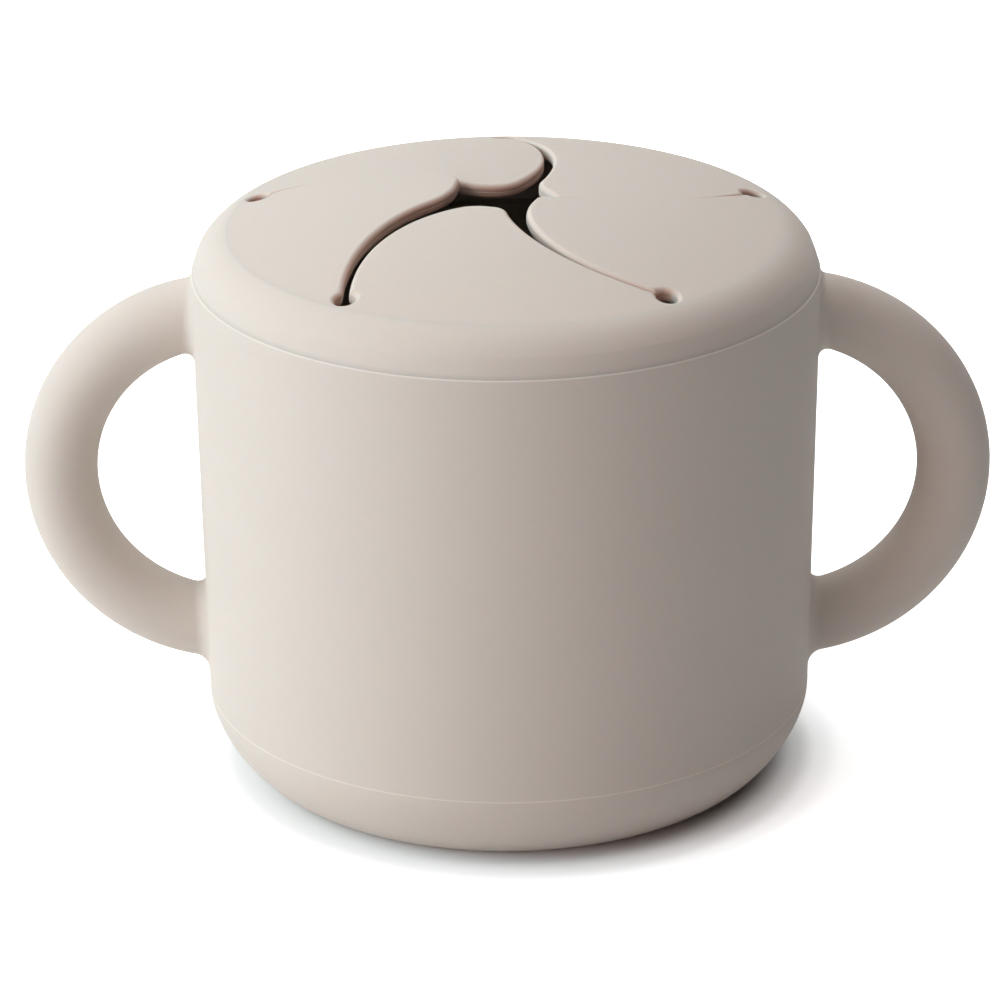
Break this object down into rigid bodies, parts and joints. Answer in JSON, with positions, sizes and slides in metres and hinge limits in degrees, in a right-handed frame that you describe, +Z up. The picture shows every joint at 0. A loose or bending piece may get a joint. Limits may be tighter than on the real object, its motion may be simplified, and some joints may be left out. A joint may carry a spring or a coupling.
{
  "type": "toddler snack container",
  "caption": "Soft silicone snack cup with two ring handles and a press-on domed lid whose curved slits form springy flaps round a star-shaped opening.",
  "frame": {"origin": "centre of the base, on the surface that the cup stands on", "axes": "+Z up through the lid, +X through the right handle, +Y to the back"},
  "size_m": [0.1402, 0.09, 0.0863],
  "materials": {
    "cup_silicone": "matte",
    "lid_silicone": "matte"
  },
  "bodies": {
    "cup": {"cup": "cup_silicone", "handle_left": "cup_silicone", "handle_right": "cup_silicone"},
    "lid": {"lid": "lid_silicone"},
    "flap_front": {"flap_front": "lid_silicone"},
    "flap_right": {"flap_right": "lid_silicone"},
    "flap_back_right": {"flap_back_right": "lid_silicone"},
    "flap_back_left": {"flap_back_left": "lid_silicone"},
    "flap_left": {"flap_left": "lid_silicone"}
  },
  "joints": [
    {"name": "lid_lift", "type": "slide", "parent": "cup", "child": "lid", "axis": [0, 0, 1], "range_m": [0, 0.06]},
    {"name": "flap_front_bend", "type": "hinge", "parent": "lid", "child": "flap_front", "pos_m": [0, -0.0303, 0.08148], "axis": [1, 0, 0], "range_deg": [-75, 55], "stiffness_Nm_per_rad": 0.02},
    {"name": "flap_right_bend", "type": "hinge", "parent": "lid", "child": "flap_right", "pos_m": [0.02882, -0.00936, 0.08148], "axis": [0.309, 0.9511, 0], "range_deg": [-75, 55], "stiffness_Nm_per_rad": 0.02},
    {"name": "flap_back_right_bend", "type": "hinge", "parent": "lid", "child": "flap_back_right", "pos_m": [0.01781, 0.02451, 0.08148], "axis": [-0.809, 0.5878, 0], "range_deg": [-75, 55], "stiffness_Nm_per_rad": 0.02},
    {"name": "flap_back_left_bend", "type": "hinge", "parent": "lid", "child": "flap_back_left", "pos_m": [-0.01781, 0.02451, 0.08148], "axis": [-0.809, -0.5878, 0], "range_deg": [-75, 55], "stiffness_Nm_per_rad": 0.02},
    {"name": "flap_left_bend", "type": "hinge", "parent": "lid", "child": "flap_left", "pos_m": [-0.02882, -0.00936, 0.08148], "axis": [0.309, -0.9511, 0], "range_deg": [-75, 55], "stiffness_Nm_per_rad": 0.02}
  ]
}
